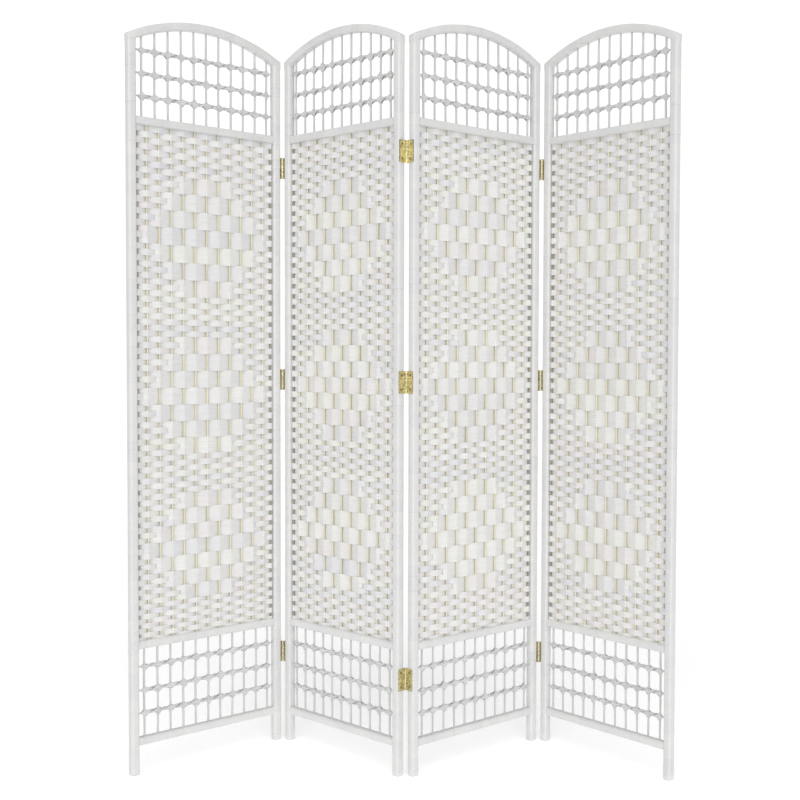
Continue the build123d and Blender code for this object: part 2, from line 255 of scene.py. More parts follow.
def make_piece(name, net, panel, material, slot, node):
    """Makes the net an object that stands for a CAD node and rides with its panel."""
    mesh = bpy.data.meshes.new(name)
    mesh.from_pydata(np.concatenate(net.points).tolist(), [], net.faces)
    add_attribute(mesh, "fibre", "FLOAT_VECTOR", "vector", np.concatenate(net.fibre))
    add_attribute(mesh, "seed", "FLOAT", "value", np.concatenate(net.seed))
    add_attribute(mesh, "edge", "FLOAT", "value", np.concatenate(net.edge))
    mesh.polygons.foreach_set("use_smooth", [True] * len(mesh.polygons))
    mesh.set_sharp_from_angle(angle=math.radians(SHARP_ANGLE))
    mesh.materials.append(material)
    piece = bpy.data.objects.new(name, mesh)
    bpy.context.scene.collection.objects.link(piece)
    piece.matrix_world = panel_matrix(panel)
    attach(piece, f"panel_{panel}")
    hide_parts(f"panel_{panel}_{node}")


# ---- members wound with ribbon ----------------------------------------------------------------
def rounded_section(half_a, half_b, radius):
    """Points round a rounded rectangle, anticlockwise from its +a side."""
    points = []
    for corner, (side_a, side_b) in enumerate(((1, 1), (-1, 1), (-1, -1), (1, -1))):
        for step in range(CORNER_STEPS + 1):
            angle = math.pi / 2 * (corner + step / CORNER_STEPS)
            a = side_a * (half_a - radius) + radius * math.cos(angle)
            b = side_b * (half_b - radius) + radius * math.sin(angle)
            points.append((a, b))
    return np.array(points)


def eased_end(radius):
    """Distance from the end and inset of each ring of an eased end, outermost ring first."""
    angles = [math.radians(a) for a in EASE_ANGLES]
    return [(radius * (1 - math.sin(a)), radius * (1 - math.cos(a))) for a in angles]


def wound_rings(length, start_ease, end_ease, rng):
    """Rings along a wound member: place, growth of the section, tilts, seed, and the strength of
    the painted shade along a seam.
    """
    seed = rng.random()
    rings = [(place, -inset, (0, 0), seed, 0) for place, inset in eased_end(start_ease)]
    if start_ease == 0:
        rings = rings[:1]
    place = start_ease + TURN_PITCH * rng.uniform(*FIRST_TURN)
    dip, crest, level = SEAM_SHARES
    while place < length - LAST_TURN:
        tilts = (rng.uniform(-SEAM_TILT, SEAM_TILT), rng.uniform(-SEAM_TILT, SEAM_TILT))
        step = SEAM_STEP_LOW + (SEAM_STEP_HIGH - SEAM_STEP_LOW) * rng.random() ** SEAM_RARITY
        # painted shade along the seam, darker where the step is higher
        seam_shade = step / SEAM_STEP_HIGH
        rings.append((place - SEAM_LEAD, 0, tilts, seed, 0))
        rings.append((place, dip * step, tilts, seed, seam_shade))
        seed = rng.random()
        rings.append((place + SEAM_RISE, crest * step, tilts, seed, seam_shade))
        rings.append((place + SEAM_RISE + SEAM_LEAD, level * step, tilts, seed, 0))
        place += TURN_PITCH * rng.uniform(*TURN_SPREAD)
    eased = reversed(eased_end(end_ease))
    ends = [(length - place, -inset, (0, 0), seed, 0) for place, inset in eased]
    return rings + (ends if end_ease else ends[-1:])


def wound_member(net, spot, length, half_a, half_b, rng, eases=(0, 0)):
    """Adds a wound member; spot(s, a, b) gives the point at s along it and (a, b) across it."""
    rings = wound_rings(length, eases[0], eases[1], rng)
    points = []
    fibre = []
    for place, growth, tilts, seed, seam_shade in rings:
        radius = EDGE_RADIUS + max(growth, -EASE_LIMIT)
        section = rounded_section(half_a + growth, half_b + growth, radius)
        a = section[:, 0]
        b = section[:, 1]
        s = place + tilts[0] * a + tilts[1] * b
        points.append(spot(s, a, b))
        fibre.append(np.stack((s, a, b), axis=1))
    seeds = np.array([ring[3] for ring in rings])[:, None]
    seam_shades = np.array([ring[4] for ring in rings])[:, None]
    net.skin(np.array(points), np.array(fibre), seeds, seam_shades)


def post_net(x, rng):
    """A post from the floor to the arch's underside."""
    def spot(s, a, b):
        top = arch_underside(x + a) + POST_EMBED
        return np.stack((x + a, b, np.minimum(s, top)), axis=1)

    top = max(arch_underside(x - HALF_POST), arch_underside(x + HALF_POST))
    length = float(top) + 2 * POST_EMBED
    net = Net()
    wound_member(net, spot, length, HALF_POST, HALF_POST, rng, (FOOT_EASE, 0))
    return net


def rail_net(box, rng):
    """A rail between the two posts."""
    low, high = box
    middle_z = (low.z + high.z) / 2

    def spot(s, a, b):
        return np.stack((low.x - EMBED + s, a, middle_z + b), axis=1)

    net = Net()
    wound_member(net, spot, high.x - low.x + 2 * EMBED, high.y, (high.z - low.z) / 2, rng)
    return net


def arch_net(rng):
    """The bent band over both posts, cut upright at its two ends."""
    middle_radius = ARCH_RADIUS - ARCH_THICKNESS / 2
    end_angle = math.asin(HALF_WIDTH / middle_radius)
    length = 2 * end_angle * middle_radius

    def spot(s, a, b):
        share = 2 * s / length - 1
        radius = middle_radius + b
        upright = np.arcsin(np.clip(share * HALF_WIDTH / radius, -1, 1))
        square = share * end_angle
        blend = share**ARCH_END_POWER
        angle = square + (upright - square) * blend
        x = MIDDLE + radius * np.sin(angle)
        return np.stack((x, a, ARCH_CENTRE_Z + radius * np.cos(angle)), axis=1)

    net = Net()
    eases = (ARCH_END_EASE, ARCH_END_EASE)
    wound_member(net, spot, length, HALF_POST, ARCH_THICKNESS / 2, rng, eases)
    return net


# ---- sticks -----------------------------------------------------------------------------------
def add_stick(net, x, low, high, wobble, shade_all_round, rng):
    """A thin round stick, a little bent and uneven, between two heights."""
    count = max(STICK_RINGS, int((high - low) / STICK_RING))
    z = np.linspace(low, high, count)
    aside, ahead, swollen, _ = [rng.uniform(0, math.tau) for _ in range(4)]
    bends = [rng.uniform(*STICK_BENDS) for _ in range(2)]
    swing = np.sin((z - low) / (high - low) * math.pi)
    dx = wobble * swing * np.sin(bends[0] * z + aside)
    dy = STICK_DEPTH_SHARE * wobble * swing * np.sin(bends[1] * z + ahead)
    radius = STICK_RADIUS * (STICK_THIN + STICK_UNEVEN * np.sin(STICK_SWELLS * z + swollen))
    angles = np.linspace(0, math.tau, STICK_SIDES, endpoint=False)
    ring_x = x + dx[:, None] + radius[:, None] * np.cos(angles)
    ring_y = dy[:, None] + radius[:, None] * np.sin(angles)
    ring_z = np.broadcast_to(z[:, None], ring_x.shape)
    points = np.stack((ring_x, ring_y, ring_z), axis=-1)
    fibre = np.stack((ring_x - x, ring_z, ring_y), axis=-1)
    # the last value says whether the material darkens the stick all round with painted shade
    net.skin(points, fibre, rng.random(), shade_all_round)


def lattice_sticks_net(rng):
    """The white sticks of the lower and of the upper lattice."""
    net = Net()
    feet = (BOTTOM_RAIL[1].z - STICK_EMBED, TOP_RAIL[1].z - STICK_EMBED)
    for x in LATTICE_XS:
        heads = (LOWER_RAIL[0].z + STICK_EMBED, float(arch_underside(x)) + STICK_EMBED)
        for foot, head in zip(feet, heads):
            add_stick(net, x, foot, head, LATTICE_WOBBLE, 0, rng)
    return net


def weave_sticks_net(rng):
    """The bare sticks inside the woven field; the two edge sticks get painted shade all round."""
    net = Net()
    low = LOWER_RAIL[1].z - STICK_EMBED
    high = TOP_RAIL[0].z + STICK_EMBED
    for x in WEAVE_XS:
        shade_all_round = float(x in (WEAVE_XS[0], WEAVE_XS[-1]))
        add_stick(net, x, low, high, WEAVE_WOBBLE, shade_all_round, rng)
    return net


# ---- paper ribbons ----------------------------------------------------------------------------
ACROSS = np.array((-0.98, -0.86, -0.4, 0.4, 0.86, 0.98))    # from edge to edge of a ribbon
HALVES = np.array((0.7, 1.0, 0.05, 0.05, 1.0, 0.7))         # how much of its hem is at each
HEM_FROM = 0.8                # how far from the middle the material calls a ribbon's edge
SECTION_V = np.concatenate((ACROSS, ACROSS[::-1]))
SECTION_T = np.concatenate((RIBBON_HALF + (HEM_HALF - RIBBON_HALF) * HALVES,
                            -(RIBBON_HALF + (HEM_HALF - RIBBON_HALF) * HALVES[::-1])))
SECTION_ROLLED = ROLLED_HALF * np.sqrt(1 - SECTION_V**2) * np.sign(SECTION_T)
SECTION_EDGE = (np.abs(SECTION_V) > HEM_FROM).astype(float)


def unit(vectors):
    """The vectors, each brought to length 1."""
    return vectors / np.linalg.norm(vectors, axis=1)[:, None]


def add_ribbon(net, path, face, width, bow, seed, roll=0.0):
    """Adds a ribbon along path. face is its flat side's direction at each point; bow(v) moves the
    points at v across it, from -1 to +1, as an array of offsets along the path. roll is 0 where
    the ribbon lies flat and 1 where it is rolled into a round strand."""
    ahead = unit(np.gradient(path, axis=0))
    across = np.cross(ahead, face)
    along = np.concatenate(([0], np.cumsum(np.linalg.norm(np.diff(path, axis=0), axis=1))))
    half = width[:, None, None] / 2
    rolled = np.broadcast_to(roll, len(path))[:, None]
    thick = SECTION_T * (1 - rolled) + SECTION_ROLLED * rolled
    points = path[:, None, :] + across[:, None, :] * half * SECTION_V[None, :, None]
    points = points + face[:, None, :] * thick[:, :, None]
    points = points + np.stack([bow(v) for v in SECTION_V], axis=1)
    fibre = np.zeros(points.shape)
    fibre[:, :, 0] = half[:, :, 0] * SECTION_V
    fibre[:, :, 1] = along[:, None]
    net.skin(points, fibre, seed, SECTION_EDGE[None, :])


# ---- woven field ------------------------------------------------------------------------------
STEPS = np.array((0.0, 0.07, 0.17, 0.83, 0.93))    # a ribbon's points from one stick to the next
WRAP_ANGLES = np.radians((30, 60, 90, 120, 150, 180))    # its points round its last stick
END_SHARES = (0.35, 0.7, 1.0)    # its points on an end that doesn't turn, as shares of the end
CREASE = 0.1                  # how far a ribbon's plan is from straight, with creases on the sticks
CROWN = 0.10                  # how much nearer the sticks' plane a ribbon's edges lie
LAP = 0.12                    # overlap of neighbouring rows, as a share of a row
SPREAD = 0.05                 # how much wider a ribbon is where it stands out, as such a share
OVER = 0.8 * MM               # a narrow row's end lies over the wide ribbon's by this much
TURN_SHIFT = 0.3              # how much of a row's height its end moves as it turns back
TURN_NARROWING = 0.2          # how much narrower it gets there, as a share of a row
WANDER_TURNS = (8, 26)        # radians to the metre of the waves that a row wanders in
HEIGHT_WANDER = 0.25 * MM
WIDTH_WANDER = 0.008          # as a share of a row, like the next
LEAN_WANDER = 0.02


def swing_shape(t):
    """From +1 on one stick to -1 on the next: nearly straight, with a soft crease on the sticks."""
    along = 1 - 2 * t
    return (1 + CREASE) * along - CREASE * along**5


def body_path(sticks, sides, swings):
    """Plan of a ribbon in front of and behind its sticks, as x and y."""
    xs = []
    ys = []
    for i in range(len(sticks) - 1):
        for t in STEPS:
            swing = swings[i] + (swings[i + 1] - swings[i]) * t
            xs.append(sticks[i] + (sticks[i + 1] - sticks[i]) * t)
            ys.append(sides[i] * swing * swing_shape(t))
    xs.append(sticks[-1])
    ys.append(sides[-1] * swings[-1])
    return xs, ys


def wrapped_end(stick, swing, outward):
    """Plan of an end that goes from the front round its last stick, and how far it has turned."""
    xs = [stick + outward * swing * math.sin(a) for a in WRAP_ANGLES]
    ys = [-swing * math.cos(a) for a in WRAP_ANGLES]
    turned = [a / math.pi for a in WRAP_ANGLES]
    return xs + [stick - outward * TAIL[0]], ys + [swing], turned + [1.0]


def straight_end(stick, y, outward, length, drop):
    """Plan of an end that stops past its last stick, and how far it has turned, which is nothing.
    drop is the share of its distance off the sticks' plane that it loses on the way."""
    xs = [stick + outward * length * share for share in END_SHARES]
    ys = [y * (1 - drop * share**2) for share in END_SHARES]
    return xs, ys, [0.0] * len(END_SHARES)


def wandering(x, reach, rng, turns=WANDER_TURNS):
    """A random wave of about the given reach along x; turns are its radians to the metre."""
    waves = [(rng.uniform(*turns), rng.uniform(0, math.tau)) for _ in range(2)]
    return reach * sum(np.sin(rate * x + phase) for rate, phase in waves)


def add_woven(net, sticks, sides, swings, tail, wraps, z, height, shifts, rng):
    """Weaves one ribbon over sticks, -1 in sides where it is in front and 1 where it is behind.
    An end that wraps is turned round its stick, and moves up by its shift on the way. tail is the
    length and drop of an end that doesn't."""
    ends = []
    for last, outward in ((0, -1), (-1, 1)):
        if wraps and sides[last] < 0:
            ends.append(wrapped_end(sticks[last], swings[last], outward))
        else:
            ends.append(straight_end(sticks[last], sides[last] * swings[last], outward, *tail))
    left, right = ends
    xs, ys = body_path(sticks, sides, swings)
    x = np.array(left[0][::-1] + xs + right[0])
    y = np.array(left[1][::-1] + ys + right[1])
    turned_left = np.array(left[2][::-1] + [0.0] * (len(xs) + len(right[0])))
    turned_right = np.array([0.0] * (len(left[0]) + len(xs)) + right[2])
    turning = np.maximum(turned_left, turned_right)
    rise = turned_left**2 * shifts[0] + turned_right**2 * shifts[1]
    rise = rise + wandering(x, HEIGHT_WANDER, rng)
    path = np.stack((x, y, z + rise), axis=1)
    ahead = unit(np.gradient(path[:, :2], axis=0))
    face = np.stack((-ahead[:, 1], ahead[:, 0], np.zeros(len(x))), axis=1)
    out = np.abs(y) / np.max(swings)
    growth = LAP + SPREAD * out**2 - TURN_NARROWING * turning + wandering(x, WIDTH_WANDER, rng)
    width = height + height_of_row() * growth
    lean = wandering(x, LEAN_WANDER, rng) * height_of_row()

    def bow(v):
        offset = np.zeros((len(x), 3))
        offset[:, 1] = lean * v - CROWN * y * v * v
        return offset

    add_ribbon(net, path, face, width, bow, rng.random())


def height_of_row():
    """Pitch of the narrow rows where they aren't bunched."""
    return (FIELD_HIGH.z - FIELD_LOW.z) / (ROW_COUNT - 1 + LAST_ROW_SHARE)


def row_levels(bunching):
    """Middle height and pitch of every narrow row, from the top down."""
    down = np.arange(ROW_COUNT) / (ROW_COUNT - 1)
    shares = 1 - bunching * down**BUNCHING_POWER
    shares[-1] *= LAST_ROW_SHARE
    pitches = shares * (FIELD_HIGH.z - FIELD_LOW.z) / shares.sum()
    tops = FIELD_HIGH.z - np.concatenate(([0], np.cumsum(pitches)[:-1]))
    return tops - pitches / 2, pitches


def diamond_halves(row):
    """Half steps from the middle stick to the last wide tile beside a narrow row, or None for a
    row that runs right across, and the row's place among the rows that the wide one replaces."""
    for start in DIAMOND_STARTS:
        within = row - start
        if 0 <= within < WIDE_SHARE * len(DIAMOND_HALVES):
            return DIAMOND_HALVES[within // WIDE_SHARE], within % WIDE_SHARE
    return None, None


def sides_of(numbers, parity):
    """-1 for the sticks that a row passes in front of, whose number has its parity."""
    return [-1 if number % 2 == parity else 1 for number in numbers]


def uneven(swing, count, rng):
    """A swing for each of count sticks."""
    return [swing * rng.uniform(*SWING_SPREAD) for _ in range(count)]


def add_narrow(net, numbers, row, level, pitch, up, laps, rng):
    """One narrow row over the numbered sticks; laps says which ends lie over a wide ribbon."""
    swings = uneven(ROW_SWING, len(numbers), rng)
    swings[0] += OVER * laps[0]
    swings[-1] += OVER * laps[1]
    shifts = (up * TURN_SHIFT * pitch, -up * TURN_SHIFT * pitch)
    sides = sides_of(numbers, row % 2)
    sticks = [WEAVE_XS[number] for number in numbers]
    add_woven(net, sticks, sides, swings, TAIL, True, level, pitch, shifts, rng)


def add_wide(net, reach, level, height, rng):
    """One wide row, reaching that many sticks either side of the middle one: it starts and ends
    in front of the sticks that the narrow rows turn round."""
    middle = len(WEAVE_XS) // 2
    numbers = range(middle - reach, middle + reach + 1)
    swings = uneven(WIDE_SWING, len(numbers), rng)
    sides = sides_of(numbers, (middle + reach) % 2)
    sticks = [WEAVE_XS[number] for number in numbers]
    add_woven(net, sticks, sides, swings, WIDE_TAIL, False, level, height, (0, 0), rng)


def weave_net(number, rng):
    """The woven field: plain narrow rows, and diamonds of wide ones between shortened rows."""
    net = Net()
    levels, pitches = row_levels(BUNCHING[number])
    up = TURNS_UP[number]
    last = len(WEAVE_XS) - 1
    middle = last // 2
    for row in range(ROW_COUNT):
        level, pitch = levels[row], pitches[row]
        halves, place = diamond_halves(row)
        if halves is None:
            add_narrow(net, range(last + 1), row, level, pitch, up, (0, 0), rng)
            continue
        reach = halves + END_REACH
        add_narrow(net, range(middle - reach + 1), row, level, pitch, up, (0, 1), rng)
        add_narrow(net, range(middle + reach, last + 1), row, level, pitch, up, (1, 0), rng)
        if place == WIDE_SHARE // 2:
            first = row - place
            add_wide(net, reach, level, sum(pitches[first:first + WIDE_SHARE]), rng)
    return net


# ---- twined lattice rows ----------------------------------------------------------------------
def twist(x):
    """Half turns that a twined ribbon has made at x, staying level where it passes a stick."""
    turns = (x - LATTICE_XS[0]) / (LATTICE_XS[1] - LATTICE_XS[0])
    whole = np.floor(turns)
    part = np.clip((turns - whole - ROW_REST) / (1 - 2 * ROW_REST), 0, 1)
    return whole + part * part * (3 - 2 * part)


def add_twined(net, z, lead, rng):
    """One of the two ribbons of a twined row; lead is the half turn that it starts ahead by."""
    first, last = LATTICE_XS[0], LATTICE_XS[-1]
    pitch = LATTICE_XS[1] - first
    body = np.linspace(first, last, ROW_STEPS * (len(LATTICE_XS) - 1) + 1)
    ends = np.linspace(HALF_POST - EMBED, first, ROW_END_STEPS)[:-1]
    x = np.concatenate((ends, body, SPAN - ends[::-1]))
    out = np.maximum(first - x, x - last)
    loose = np.clip(out / (pitch * LOOSE_PITCH), 0, 1)
    angle = (twist(x) + lead) * math.pi
    reach = ROW_REACH * (1 - LOOSE_REACH * loose)
    rise = ROW_RISE * (1 - LOOSE_RISE * loose)
    y = -reach * np.cos(angle)
    away = np.abs(x[:, None] - LATTICE_XS[None, :]).min(axis=1)
    fanned = np.exp(-(away / ROW_FAN_REACH) ** 2)
    drift = wandering(x, ROW_DRIFT, rng) + wandering(x, ROW_LUMP_HEIGHT, rng, ROW_LUMPS)
    height = z + rise * np.sin(angle) + drift - ROW_SAG * fanned
    path = np.stack((x, y, height), axis=1)
    face = np.stack((np.zeros(len(x)), -np.cos(angle), np.sin(angle)), axis=1)
    ahead = unit(np.gradient(path, axis=0))
    face = unit(face - ahead * np.sum(face * ahead, axis=1)[:, None])
    shown = [ROW_FANS[(i + lead) % 2] for i in range(len(LATTICE_XS))]
    fans = [fan * rng.uniform(*ROW_FAN_SPREAD) for fan in shown]
    width = ROW_NECK + (np.interp(x, LATTICE_XS, fans) - ROW_NECK) * fanned
    width = width * (1 + wandering(x, ROW_LUMP_WIDTH, rng, ROW_LUMPS))
    width = width * (1 - loose) + LOOSE_WIDTH * loose
    roll = np.minimum(1, away / (ROW_ROLL_REACH * ROW_FAN_REACH)) * (1 - LOOSE_ROLL * loose)

    def bow(v):
        offset = np.zeros((len(x), 3))
        offset[:, 1] = -ROW_CROWN * y * v * v
        return offset

    add_ribbon(net, path, face, width, bow, rng.random(), roll)


def lattice_rows_net(rng):
    """The twined rows of both lattices, each of two ribbons."""
    net = Net()
    for z in row_heights():
        row_z = z + rng.uniform(-1, 1) * ROW_LEVEL_SPREAD
        for lead in (0, 1):
            add_twined(net, row_z, lead, rng)
    return net


# ---- materials --------------------------------------------------------------------------------
# Scales of the textures along the axes of a piece's own coordinates. A ribbon's and a stick's
# run across it, along it and through it. A wound member's run along it, which is across its
# ribbon, and across it.
CREASE_SCALES = (22, 60)      # along a ribbon and through it; across it each paper has its own
FIBRE_SCALES = (2600, 160, 400)
PAPER_PATCHES = (40, 30, 40)
GRAIN_SCALES = (1500, 30, 1500)
WOOD_PATCHES = (120, 25, 120)
SCRATCH_SCALES = (3200, 3200, 500)
SEED_STRIDE = 61.7            # moves each seed's texture to a place of its own
LOTTERY_STRIDE = 37.0         # the same for its tint
LOTTERY_SHARE = 0.65          # how much of a ribbon's tint is its own
PATCH_SHARE = 0.35            # and how much changes along it
PAPER_ROUGHNESS = (0.38, 0.62)
CREASE_DEPTHS = 4             # depth of a paper's creases in depths of its fibres
SHEEN_SPREAD = 0.2            # how much rougher a stick is in places
GRAIN_DEPTH = 0.2 * MM
PATCH_DENTS = 3               # size of a dark patch of metal in dents
DENT_DEPTH = 0.6 * MM
SCRATCH_DEPTH = 0.05 * MM


class Nodes:
    """Short calls for building a material's nodes."""

    def __init__(self, name):
        self.material = bpy.data.materials.new(name)
        self.material.use_nodes = True
        self.tree = self.material.node_tree
        self.shader = self.tree.nodes["Principled BSDF"]

    def add(self, kind, **inputs):
        """A new node, with values or links for its inputs; _ in a name stands for a space."""
        node = self.tree.nodes.new(kind)
        for name, value in inputs.items():
            self.put(node.inputs[name.replace("_", " ")], value)
        return node

    def put(self, socket, value):
        """Sets a socket to a value, or links it to another socket."""
        if isinstance(value, bpy.types.NodeSocket):
            self.tree.links.new(value, socket)
        else:
            socket.default_value = value

    def attribute(self, name, output):
        node = self.tree.nodes.new("ShaderNodeAttribute")
        node.attribute_name = name
        return node.outputs[output]

    def noise(self, vector, scale=1.0, detail=3.0, rough=0.55):
        inputs = {"Vector": vector, "Scale": scale, "Detail": detail, "Roughness": rough}
        return self.add("ShaderNodeTexNoise", **inputs).outputs["Fac"]

    def ramp(self, factor, stops):
        """A colour ramp; stops are places and colours."""
        node = self.add("ShaderNodeValToRGB", Fac=factor)
        elements = node.color_ramp.elements
        for place, _ in stops[1:-1]:
            elements.new(place)
        for element, (place, colour) in zip(elements, stops):
            element.position = place
            element.color = (*colour, 1)
        return node.outputs["Color"]

    def stretched(self, vector, scales, seed):
        """vector scaled axis by axis and moved to a place of its own for each seed."""
        scaled = self.add("ShaderNodeVectorMath")
        scaled.operation = "MULTIPLY"
        self.put(scaled.inputs[0], vector)
        scaled.inputs[1].default_value = scales
        moved = self.add("ShaderNodeVectorMath")
        moved.operation = "ADD"
        self.put(moved.inputs[0], scaled.outputs[0])
        if seed is not None:
            self.put(moved.inputs[1], self.math("MULTIPLY", seed, SEED_STRIDE))
        return moved.outputs[0]

    def math(self, operation, a, b):
        node = self.add("ShaderNodeMath")
        node.operation = operation
        self.put(node.inputs[0], a)
        self.put(node.inputs[1], b)
        return node.outputs[0]

    def range(self, value, low, high):
        node = self.add("ShaderNodeMapRange", Value=value)
        node.inputs["To Min"].default_value = low
        node.inputs["To Max"].default_value = high
        return node.outputs["Result"]

    def mix(self, kind, factor, a, b):
        node = self.add("ShaderNodeMix")
        node.data_type = "RGBA"
        node.blend_type = kind
        self.put(node.inputs["Factor"], factor)
        self.put(node.inputs["A"], a)
        self.put(node.inputs["B"], b)
        return node.outputs["Result"]

    def bump(self, height, strength, distance, normal=None):
        node = self.add("ShaderNodeBump", Height=height, Strength=strength, Distance=distance)
        if normal is not None:
            self.put(node.inputs["Normal"], normal)
        return node.outputs["Normal"]


def grey(value):
    """A colour of three equal parts."""
    return (value, value, value)


def paper(name, tints, crease_scale, crease_shade, fibre_depth, edge_shade):
    """Folded paper ribbon: lengthwise creases and fibres, and a tint of its own on each ribbon or
    turn. crease_shade and edge_shade are what its creases and its marked edges are darkened to:
    painted shade in the creases, and along the seams of the wound ribbon and the hems of a ribbon."""
    nodes = Nodes(name)
    fibre = nodes.attribute("fibre", "Vector")
    seed = nodes.attribute("seed", "Fac")
    edge = nodes.attribute("edge", "Fac")
    folded = nodes.stretched(fibre, (crease_scale, *CREASE_SCALES), seed)
    creases = nodes.noise(folded, detail=2.0)
    fibres = nodes.noise(nodes.stretched(fibre, FIBRE_SCALES, seed), detail=4.0, rough=0.65)
    patches = nodes.noise(nodes.stretched(fibre, PAPER_PATCHES, seed), detail=2.0)
    lottery = nodes.add("ShaderNodeTexWhiteNoise")
    lottery.noise_dimensions = "1D"
    nodes.put(lottery.inputs["W"], nodes.math("MULTIPLY", seed, LOTTERY_STRIDE))
    own = nodes.math("MULTIPLY", lottery.outputs["Value"], LOTTERY_SHARE)
    changing = nodes.math("MULTIPLY", patches, PATCH_SHARE)
    tint = nodes.ramp(nodes.math("ADD", own, changing), tints)
    # painted shade: the colour darkens in the creases that the bump below also makes
    shade = nodes.ramp(creases, ((0.30, grey(crease_shade)), (0.62, grey(1.0))))
    colour = nodes.mix("MULTIPLY", 1.0, tint, shade)
    speck = nodes.ramp(fibres, ((0.25, grey(0.93)), (0.6, grey(1.0))))
    colour = nodes.mix("MULTIPLY", 1.0, colour, speck)
    # painted shade along the seams of a wound ribbon and the hems of a ribbon
    colour = nodes.mix("MULTIPLY", edge, colour, (*grey(edge_shade), 1))
    nodes.put(nodes.shader.inputs["Base Color"], colour)
    nodes.put(nodes.shader.inputs["Roughness"], nodes.range(fibres, *PAPER_ROUGHNESS))
    creased = nodes.bump(creases, strength=0.5, distance=CREASE_DEPTHS * fibre_depth)
    normal = nodes.bump(fibres, strength=0.35, distance=fibre_depth, normal=creased)
    nodes.put(nodes.shader.inputs["Normal"], normal)
    return nodes.material


def wood(name, light, dark, sheen_rough, side_shade):
    """A thin round stick with its grain along it, with painted shade darkening its two sides; the
    edge sticks are darkened all round with painted shade."""
    nodes = Nodes(name)
    fibre = nodes.attribute("fibre", "Vector")
    seed = nodes.attribute("seed", "Fac")
    grain = nodes.noise(nodes.stretched(fibre, GRAIN_SCALES, seed), detail=4.0, rough=0.6)
    patches = nodes.noise(nodes.stretched(fibre, WOOD_PATCHES, seed), detail=2.0)
    cloud = nodes.ramp(patches, ((0.3, grey(0.88)), (0.7, grey(1.0))))
    colour = nodes.mix("MULTIPLY", 1.0, nodes.ramp(grain, ((0.35, dark), (0.6, light))), cloud)
    # painted shade: the colour darkens towards the stick's two sides, where the ribbons shade it
    across = nodes.add("ShaderNodeSeparateXYZ", Vector=fibre).outputs["X"]
    aside = nodes.math("ABSOLUTE", nodes.math("DIVIDE", across, STICK_RADIUS), 0.0)
    side_painted_shade = nodes.ramp(aside, ((0.45, grey(1.0)), (0.85, grey(side_shade))))
    colour = nodes.mix("MULTIPLY", 1.0, colour, side_painted_shade)
    # painted shade: the edge sticks, which stand beside the posts where shade falls, are darkened
    # all round
    colour = nodes.mix("MULTIPLY", nodes.attribute("edge", "Fac"), colour, (*EDGE_STICK_SHADE, 1))
    nodes.put(nodes.shader.inputs["Base Color"], colour)
    sheen = nodes.range(grain, sheen_rough, sheen_rough + SHEEN_SPREAD)
    nodes.put(nodes.shader.inputs["Roughness"], sheen)
    normal = nodes.bump(grain, strength=0.4, distance=GRAIN_DEPTH)
    nodes.put(nodes.shader.inputs["Normal"], normal)
    return nodes.material


def metal(name, light, dark, rough_low, rough_high, dent_scale):
    """Pressed, plated metal with shallow dents, with painted shade darkening its dents and patches,
    which also stands in for dark reflections.
    """
    nodes = Nodes(name)
    place = nodes.add("ShaderNodeTexCoord").outputs["Object"]
    dents = nodes.noise(place, dent_scale, detail=2.0)
    scratches = nodes.noise(nodes.stretched(place, SCRATCH_SCALES, None))
    patches = nodes.noise(place, dent_scale / PATCH_DENTS)
    # the metal's colour, with painted shade where the dents are deepest
    metal_and_dent_shade = nodes.ramp(dents, ((0.30, dark), (0.62, light)))
    # painted shade in patches, which also darkens the reflections
    cloud = nodes.ramp(patches, ((0.35, grey(0.62)), (0.60, grey(1.0))))
    nodes.put(nodes.shader.inputs["Base Color"], nodes.mix("MULTIPLY", 1.0, metal_and_dent_shade, cloud))
    nodes.shader.inputs["Metallic"].default_value = 1.0
    nodes.put(nodes.shader.inputs["Roughness"], nodes.range(scratches, rough_low, rough_high))
    dented = nodes.bump(dents, strength=0.6, distance=DENT_DEPTH)
    normal = nodes.bump(scratches, strength=0.15, distance=SCRATCH_DEPTH, normal=dented)
    nodes.put(nodes.shader.inputs["Normal"], normal)
    return nodes.material


COOL = (0.755, 0.755, 0.775)
WHITE = (0.775, 0.775, 0.765)
PINK = (0.795, 0.77, 0.765)
BRIGHT = (0.82, 0.82, 0.81)
IVORY = (0.80, 0.80, 0.755)
WOVEN_TINTS = ((0.2, COOL), (0.35, WHITE), (0.5, PINK), (0.65, BRIGHT), (0.8, IVORY))
FRAME_TINTS = ((0.2, (0.71, 0.71, 0.715)), (0.5, (0.73, 0.73, 0.725)), (0.8, (0.75, 0.75, 0.735)))
TWINED_TINTS = ((0.2, (0.68, 0.68, 0.69)), (0.8, (0.73, 0.73, 0.725)))
# painted shade on the edge sticks, which stand in the shade beside the posts
EDGE_STICK_SHADE = (0.50, 0.50, 0.53)
WHITE_STICK = (grey(0.68), grey(0.60))
BARE_STICK = ((0.83, 0.79, 0.61), (0.76, 0.71, 0.49))
# each metal: its own colour, and the darker colour of its painted shade
HINGE_BRASS = ((0.96, 0.89, 0.60), (0.46, 0.39, 0.18))
SCREW_BRASS = ((0.56, 0.49, 0.26), (0.14, 0.12, 0.05))
NAIL_STEEL = ((0.62, 0.62, 0.63), (0.45, 0.45, 0.46))

